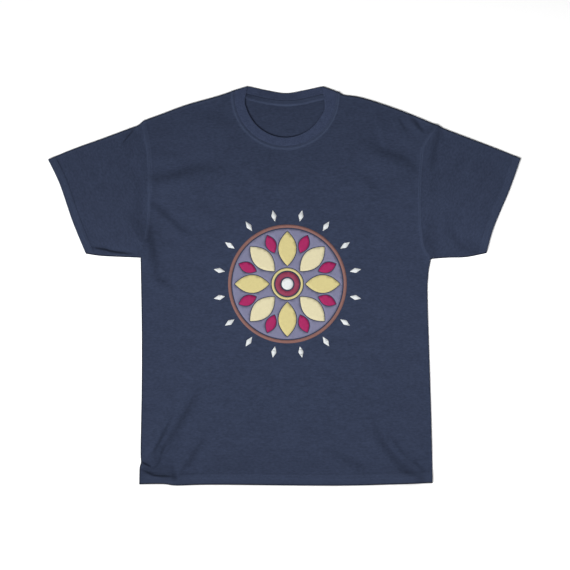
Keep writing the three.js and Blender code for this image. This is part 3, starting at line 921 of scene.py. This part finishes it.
across = np.array([0, 0.015, 0.045, 0.09, 0.16, 0.28, 0.4, 0.52, 0.64, 0.76, 0.88, 1.0])
grid = np.stack([band_surface(column_half, column_share, np.full(columns, share)) for share in across])
round_ring = (np.roll(grid, -1, axis=1) - np.roll(grid, 1, axis=1)) / 2
outwards = unit(np.gradient(grid, axis=0))
normal = unit(np.cross(round_ring, outwards))
from_seam = across[:, None] * BAND_WIDTH
rib_wave = RIB_DEPTH * np.cos(2 * math.pi * np.arange(columns) / COLUMNS_PER_RIB)
ribbed = rib_wave * eased(0.5, 3, from_seam)
sunk = groove(from_seam, *SEAM_SINK)
outside = grid + normal * (ribbed + sunk)[..., None]
bulk = BACK_SEAM_BULK * (1 - across[:, None]) * column_half * column_inset
inside = grid - normal * (BAND_CLOTH + ribbed + bulk)[..., None]
middle = grid[-1] - normal[-1] * BAND_CLOTH / 2
edge_rows = []
for turn in np.linspace(math.pi / 2, -math.pi / 2, ROUND_STEPS + 1)[1:-1]:
    reach = (BAND_CLOTH / 2 + rib_wave)[:, None]
    edge_rows.append(middle + reach * (outwards[-1] * math.cos(turn) + normal[-1] * math.sin(turn)))
section = np.concatenate([outside, np.array(edge_rows), inside[::-1]])


def swept_faces(rows, columns, closed):
    """Faces over a grid of points whose rows close on themselves, and whose columns do too if closed."""
    return [
        [
            row * columns + column,
            row * columns + (column + 1) % columns,
            (row + 1) % rows * columns + (column + 1) % columns,
            (row + 1) % rows * columns + column,
        ]
        for row in range(rows)
        for column in range(columns if closed else columns - 1)
    ]


band_faces = swept_faces(len(section), columns, True)
neckband = mesh_object("neck_rib", section.reshape(-1, 3), band_faces)
keep_crisp(neckband, np.isin(np.arange(len(section)), [0, len(section) - 1]).repeat(columns))
section_walk = length_along(section[:, 0])
carry(neckband, "rib", np.tile(np.arange(columns) / COLUMNS_PER_RIB, len(section)))
carry(neckband, "width", np.repeat(section_walk * MM, columns))

# The inside of the band behind the neck is lit less, but not where it comes up to the shoulders.
column_x = grid[5, :, 0]
shade_of_inside = column_half * eased(-66, -48, column_x) * (1 - eased(24, 44, column_x))
carry(neckband, "inside", np.tile(shade_of_inside, len(section)))

RIB_LIGHT = linear(54, 62.5, 86)
RIB_DEEP = linear(37.5, 45, 65)
RIB_SHADED = linear(22, 27, 40)
RIB_VALLEY = linear(26, 31, 46)
INSIDE_SHADE = 0.18
SEAM_SHADE = 0.08
VALLEY_SHADE = 0.2
HALF_RIB = 0.5  # the width of a column of loops, in ribs


def rib_finish():
    material, start = new_finish("rib")
    rib = mark(start, "rib")
    width = mark(start, "width")
    place = object_place(start)
    flecks = speckle(start, place, 420.0)
    blotches = speckle(start, place, 120.0)
    loops = knit_loops(start, rib, width, HALF_RIB)
    ridge = start.math("COSINE", rib * (2 * math.pi)) * 0.5 + 0.5
    shade = (flecks - 0.5) * 1.5 + (blotches - 0.5) * 0.8 + 0.5
    cloth = mixed(shade, RIB_DEEP, RIB_LIGHT)
    dark = mark(start, "inside") * INSIDE_SHADE + under(width, 1.8, 3) * SEAM_SHADE
    cloth = mixed(dark, cloth, RIB_SHADED)
    colour = mixed((1 - ridge) * VALLEY_SHADE, cloth, RIB_VALLEY)
    finished(start, colour, 0.86 + flecks * 0.1, loops + flecks * 0.4, 0.5, 0.2, 0.12)
    return material


neckband.data.materials.append(rib_finish())
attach(neckband, "root")
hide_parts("neckband")

# ---- Neck tape ----
#
# A narrow tape of folded jersey that covers the back neck seam inside. It is sewn down along both its
# sides, and it is thickest towards the lower one, where its fold carries a painted highlight.

TAPE_ENDS = (0.08, 0.92)  # shares of the back neck seam between which it runs
TAPE_WIDTH = 11.2
TAPE_START = 0.4  # how far below the seam it begins
TAPE_EDGE = 0.1  # half its thickness along its two edges
TAPE_RISE = 0.4
TAPE_FOLD_RISE = 1.8
TAPE_FOLD_PLACE = 0.68  # of its width, down from the seam
TAPE_BED = FLOOR_GAP + CLOTH  # the inside of the back, where it lies
TAPE_ROWS = 15
TAPE_STEPS = 110


def tape_rise(t):
    """Height of the tape at a share of its width, which is 0 by the seam and 1 at its lower edge."""
    slope = TAPE_RISE + (TAPE_FOLD_RISE - TAPE_RISE) * min(t / TAPE_FOLD_PLACE, 1)
    return slope * eased(0, 0.06, t) * (1 - eased(TAPE_FOLD_PLACE, 1.02, t))


tape_line = share_of(back_neck_seam, np.linspace(*TAPE_ENDS, TAPE_STEPS))
tape_down = -left_of(tape_line)


def tape_row(t):
    """A row of points along the top of the tape, at a share of its width."""
    plan = tape_line + tape_down * (TAPE_START + t * TAPE_WIDTH)
    return np.column_stack([plan, np.full(len(plan), TAPE_BED + TAPE_EDGE + tape_rise(t))])


tape_across = np.linspace(0, 1, TAPE_ROWS)
tape_top = np.array([tape_row(t) for t in tape_across])
tape_under = tape_top[::-1].copy()
tape_under[..., 2] = TAPE_BED - TAPE_EDGE
tape_section = np.concatenate([tape_top, tape_under])
tape_faces = [[face[0], *face[:0:-1]] for face in swept_faces(2 * TAPE_ROWS, TAPE_STEPS, False)]
tape_faces.append([row * TAPE_STEPS for row in range(2 * TAPE_ROWS)][::-1])
tape_faces.append([row * TAPE_STEPS + TAPE_STEPS - 1 for row in range(2 * TAPE_ROWS)])
tape = mesh_object("neck_binding", tape_section.reshape(-1, 3), tape_faces)

# Painted highlight on the tape's top, most along its fold, in the middle of the neck and at the wearer's left
# end.
painted_highlight = np.concatenate([0.45 + 0.5 * np.exp(-(((tape_across - 0.78) / 0.19) ** 2)), np.zeros(TAPE_ROWS)])
from_middle = np.abs(tape_line[:, 0])
highlight_along = 1 - 0.5 * eased(12, 32, from_middle) - 0.4 * eased(44, 68, from_middle)
lit_along = 0.4 * eased(20, 48, tape_line[:, 0])
carry(tape, "painted_highlight", (np.outer(painted_highlight, highlight_along) + lit_along).ravel())
tape.data.materials.append(jersey_finish("jersey tape", 0))
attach(tape, "root")
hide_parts("neck_tape")

# ---- Stitching ----
#
# Twin rows of straight stitches in navy thread hold the hem and both cuffs, the ridge round the neckband and
# the two sides of the neck tape. Each stitch is a short strand, sunk a little into the cloth.

STITCH_SPACING = 2.9 * MM
STITCH_LENGTH = 2.4 * MM
THREAD = 0.42 * MM


def stitch_tree():
    """Lays one strand after another along every line of a mesh of edges."""
    tree = bpy.data.node_groups.new("stitches", "GeometryNodeTree")
    for name, kind in (
        ("Lines", "NodeSocketGeometry"), ("Spacing", "NodeSocketFloat"), ("Length", "NodeSocketFloat"),
        ("Thread", "NodeSocketFloat"), ("Finish", "NodeSocketMaterial"),
    ):
        tree.interface.new_socket(name, in_out="INPUT", socket_type=kind)
    tree.interface.new_socket("Stitches", in_out="OUTPUT", socket_type="NodeSocketGeometry")
    start = Wire(tree)
    given = tree.nodes.new("NodeGroupInput").outputs
    lines, spacing, length, thread, finish = [Wire(tree, given[i]) for i in range(5)]
    line = start.node("GeometryNodeMeshToCurve", None, {"Mesh": lines})
    even = start.node("GeometryNodeResampleCurve", {"mode": "LENGTH"}, {"Curve": line, "Length": spacing})
    tangent = start.node("GeometryNodeInputTangent")
    along = start.node("FunctionNodeAlignRotationToVector", {"axis": "X"}, {"Vector": tangent})
    ball = start.node("GeometryNodeMeshUVSphere", None, {"Segments": 6, "Rings": 5, "Radius": 0.5})
    size = start.node("ShaderNodeCombineXYZ", None, {0: length, 1: thread, 2: thread})
    strand = start.node("GeometryNodeTransform", None, {"Geometry": ball, "Scale": size})
    on_points = {"Points": even, "Instance": strand, "Rotation": along}
    laid = start.node("GeometryNodeInstanceOnPoints", None, on_points)
    real = start.node("GeometryNodeRealizeInstances", None, {"Geometry": laid})
    smooth = start.node("GeometryNodeSetShadeSmooth", None, {0: real})
    painted = start.node("GeometryNodeSetMaterial", None, {"Geometry": smooth, "Material": finish})
    end = tree.nodes.new("NodeGroupOutput")
    tree.links.new(painted.socket, end.inputs[0])
    return tree


def thread_finish():
    material, start = new_finish("thread")
    twist = speckle(start, object_place(start), 1600.0)
    colour = mixed(twist, linear(40, 48, 67), linear(55, 64, 87))
    finished(start, colour, 0.6 + twist * 0.1, twist, 0.4, 0.1, 0.05)
    return material


stitches = stitch_tree()
thread = thread_finish()


def joined(lines, closed):
    """Edges from point to point of each of several lines, and from its end to its start if closed."""
    joints = []
    count = 0
    for line in lines:
        size = len(line)
        joints += [(count + i, count + (i + 1) % size) for i in range(size if closed else size - 1)]
        count += size
    return joints


def stitching(name, lines):
    """One piece of stitches along lines of points in millimetres."""
    mesh = bpy.data.meshes.new(name + "_lines")
    mesh.from_pydata((np.vstack(lines) * MM).tolist(), joined(lines, False), [])
    carrier = in_scene(name + "_lines", mesh)
    modifier = carrier.modifiers.new("stitches", "NODES")
    modifier.node_group = stitches
    inputs = [item for item in stitches.interface.items_tree if item.in_out == "INPUT"]
    for item, value in zip(inputs[1:], (STITCH_SPACING, STITCH_LENGTH, THREAD, thread)):
        modifier[item.identifier] = value
    evaluated = carrier.evaluated_get(bpy.context.evaluated_depsgraph_get())
    made = in_scene(name, bpy.data.meshes.new_from_object(evaluated))
    bpy.data.objects.remove(carrier)
    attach(made, "root")


CHEST = np.array([[0.0, 100.0]])
STITCH_SINK = 0.12
BACK_STITCH_SINK = 0.04
SIDE_MARGIN = 1.0  # a row of stitches stops this far from the folded edge
RIDGE_STITCHES = (2.0, 6.2)  # out from the front neck seam
TAPE_STITCHES = (0.12, 0.6)  # shares of the tape's width


def moved_in(line, offset):
    """A line moved sideways by an offset, to the side on which the chest is."""
    return line + np.sign(beside(CHEST, line)[0][0]) * offset * left_of(line)


def on_front(line, height, *given):
    """A row on the front, at the height that a function gives."""
    line = line[inset(line, folded_edges) > SIDE_MARGIN]
    return np.column_stack([line, height(*given, line) + THREAD / MM / 2 - STITCH_SINK])


def on_back(line):
    line = line[inset(line, folded_edges) > SIDE_MARGIN]
    return np.column_stack([line, back_height(line) + BACK_STITCH_SINK])


hem_lines = [moved_in(hem, offset) for offset in HEM_STITCHES["body"]]
hem_stitch_rows = [on_front(line, body_front_height) for line in hem_lines]
stitching("hem_stitches", hem_stitch_rows + [on_back(line) for line in hem_lines])

cuff_stitch_rows = []
for name, cuff in (("right_sleeve", right_cuff), ("left_sleeve", left_cuff)):
    for offset in HEM_STITCHES[name]:
        line = moved_in(cuff, offset)
        cuff_stitch_rows += [on_front(line, sleeve_front_height, name, cuff), on_back(line)]
stitching("cuff_stitches", cuff_stitch_rows)

neck_turns = np.linspace(RIGHT_NECK_TURN + 1, LEFT_NECK_TURN - 1, 260)
ridge_rows = [on_front(on_neck_seam(neck_turns, out), body_front_height) for out in RIDGE_STITCHES]
stitching("neck_stitches", ridge_rows + [tape_row(t) for t in TAPE_STITCHES])

# ---- Printed rosette ----
#
# A round ornament of petals, leaves and rings, screen-printed on the chest in seven matt inks. Each ink is a
# thin skin that follows the cloth, with a narrow line of bare cloth between two colours.

INK = 0.14
INK_PROUD = 0.11
ROSETTE_CENTRE = np.array([5.0, 4.0])
HUB = 11  # its radius
HUB_RING = (13.5, 23)  # the inner and the outer radius
INNER_RING = (25.5, 30)
GROUND = (31.5, 105)
OUTER_RING = (107, 113)
PETAL = (34.5, 100, 17)  # from and to this far from the centre, and half the width
LEAF = (64, 100, 9.5)
LOZENGE = (121, 143, 5)
TRAP = 1.5  # the bare line round a petal or a leaf
INK_STEP = 2.2
INK_SPACING = 5.0


def on_ray(turn, along, aside):
    """Places beside a ray from the rosette's centre."""
    x = along * math.cos(turn) - aside * math.sin(turn)
    y = along * math.sin(turn) + aside * math.cos(turn)
    return np.stack([x, y], axis=1) + ROSETTE_CENTRE


def circle(radius):
    steps = max(24, round(2 * math.pi * radius / INK_STEP))
    turns = np.arange(steps) * 2 * math.pi / steps
    return ROSETTE_CENTRE + radius * facing(turns)


def petal(shape, turn, margin=0.0):
    """A pointed oval along a ray."""
    start, end, half = shape
    start, end, half = start - margin, end + margin, half + margin
    share = np.linspace(0, 1, round((end - start) / INK_STEP) + 1)
    along = start + (end - start) * share
    aside = 4 * half * share * (1 - share)
    return np.vstack([on_ray(turn, along, -aside), on_ray(turn, along[::-1], aside[::-1])[1:-1]])


def lozenge(shape, turn):
    start, end, half = shape
    middle = (start + end) / 2
    corners = on_ray(turn, np.array([start, middle, end, middle]), np.array([0, -half, 0, half]))
    return walked(np.vstack([corners, corners[:1]]), INK_STEP)[:-1]


def ink_field(outline, holes=()):
    """Points and triangles of one field of ink, without its holes."""
    loops = [outline, *holes]
    between = lattice(outline, INK_SPACING, INK_SPACING * 0.87)
    for hole in holes:
        between = between[~inside_of(between, hole)]
    placed = with_clear(np.vstack(loops), between, 0.5 * INK_SPACING)
    made = geometry.delaunay_2d_cdt([Vector(p) for p in placed], joined(loops, True), [], 0, 1e-4)
    points = np.array(made[0])
    centres = np.array([points[face].mean(0) for face in made[2]])
    kept = inside_of(centres, outline)
    for hole in holes:
        kept &= ~inside_of(centres, hole)
    return points, [face for face, keep in zip(made[2], kept) if keep]


def ink_ring(inner, outer):
    return ink_field(circle(outer), [circle(inner)])


INK_PORE = linear(90, 90, 100)


def ink_finish(name, colour):
    material, start = new_finish("ink " + name)
    place = object_place(start)
    loops = knitted(start, place)
    patches = speckle(start, place, 260.0, 3.0)
    darker = [part * 0.88 for part in colour[:3]] + [1.0]
    tone = mixed(patches, darker, colour)
    pores = mixed((1 - loops) * 0.1, tone, INK_PORE)
    finished(start, pores, 0.62 + patches * 0.1, loops, 0.35, 0.15, 0.0)
    return material


def print_ink(name, colour, fields, nodes):
    """All the fields of one ink as one piece that lies on the front."""
    points = []
    faces = []
    count = 0
    for field_points, field_faces in fields:
        points.append(field_points)
        faces += [[count + i for i in face] for face in field_faces]
        count += len(field_points)
    plan = np.vstack(points)
    made = mesh_object("ink_" + name, np.column_stack([plan, body_front_height(plan) + INK_PROUD]), faces)
    skin = made.modifiers.new("skin", "SOLIDIFY")
    skin.thickness = INK * MM
    skin.offset = -1
    made.data.materials.append(ink_finish(name, colour))
    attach(made, "root")
    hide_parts(*nodes)


petal_turns = [math.pi / 2 + i * math.pi / 4 for i in range(8)]
leaf_turns = [turn + math.pi / 8 for turn in petal_turns]
lozenge_turns = [math.pi / 16 + i * math.pi / 8 for i in range(16)]
openings = [petal(PETAL, turn, TRAP) for turn in petal_turns]
openings += [petal(LEAF, turn, TRAP) for turn in leaf_turns]

print_ink(
    "white", linear(195, 198, 199),
    [ink_field(circle(HUB)), *[ink_field(lozenge(LOZENGE, turn)) for turn in lozenge_turns]],
    ["print_hub", *[f"print_lozenge_{i + 1}" for i in range(16)]],
)
print_ink("jam", linear(123, 46, 69), [ink_ring(*HUB_RING)], ["print_hub_ring"])
print_ink(
    "custard", linear(182, 171, 118),
    [ink_ring(*INNER_RING), *[ink_field(petal(PETAL, turn)) for turn in petal_turns[::2]]],
    ["print_inner_ring", *[f"print_petal_{i}" for i in (1, 3, 5, 7)]],
)
print_ink(
    "cream", linear(190, 182, 149), [ink_field(petal(PETAL, turn)) for turn in petal_turns[1::2]],
    [f"print_petal_{i}" for i in (2, 4, 6, 8)],
)
print_ink(
    "berry", linear(139, 20, 76), [ink_field(petal(LEAF, turn)) for turn in leaf_turns],
    [f"print_leaf_{i}" for i in range(1, 9)],
)
ground = ink_field(circle(GROUND[1]), [circle(GROUND[0]), *openings])
print_ink("lilac", linear(103, 103, 127), [ground], ["print_ground"])
print_ink("mauve", linear(116, 82, 76), [ink_ring(*OUTER_RING)], ["print_outer_ring"])

# ---- Floor, light and camera ----
#
# A plain white floor under soft studio light: a broad lamp beyond the hem on the wearer's right, a weaker
# strip overhead, and an even sky. The camera looks straight down.

FRAME_WIDTH = 1.087  # the width of floor in the picture
CAMERA_PLACE = (0.36 * MM, 1.96 * MM)  # the shirt lies a little off the middle of the picture
CAMERA_HEIGHT = 5.0
SENSOR = 36.0

FLOOR_HALF = 4000.0
corners = [(x * FLOOR_HALF, y * FLOOR_HALF, 0) for x, y in ((-1, -1), (1, -1), (1, 1), (-1, 1))]
floor = mesh_object("floor", corners, [(0, 1, 2, 3)])
floor_finish, floor_start = new_finish("floor paint")
floor_shader = floor_start.node(
    "ShaderNodeBsdfPrincipled", None, {"Base Color": (0.93, 0.93, 0.93, 1), "Roughness": 0.9}
)
floor_start.node("ShaderNodeOutputMaterial", None, {"Surface": floor_shader})
floor.data.materials.append(floor_finish)


def lamp(name, place, aim, size, power):
    """A soft rectangular light that faces a point."""
    data = bpy.data.lights.new(name, "AREA")
    data.shape = "RECTANGLE"
    data.size, data.size_y = size
    data.energy = power
    made = in_scene(name, data)
    made.location = place
    made.rotation_euler = (Vector(aim) - Vector(place)).to_track_quat("-Z", "Y").to_euler()


lamp("side softbox", (-3.0, -2.4, 4.2), (0, 0, 0), (3.6, 3.6), 388)
lamp("overhead strip", (0.46, -0.04, 0.65), (0.46, -0.04, 0), (2.2, 0.3), 7.8)
sky = bpy.data.worlds.new("studio")
sky.use_nodes = True
sky.node_tree.nodes["Background"].inputs["Color"].default_value = (1, 1, 1, 1)
sky.node_tree.nodes["Background"].inputs["Strength"].default_value = 0.1
bpy.context.scene.world = sky
bpy.context.scene.view_settings.view_transform = "Standard"

camera_data = bpy.data.cameras.new("camera")
camera_data.sensor_width = SENSOR
camera_data.lens = CAMERA_HEIGHT * SENSOR / FRAME_WIDTH
camera = in_scene("camera", camera_data)
camera.location = (*CAMERA_PLACE, CAMERA_HEIGHT)
bpy.context.scene.camera = camera
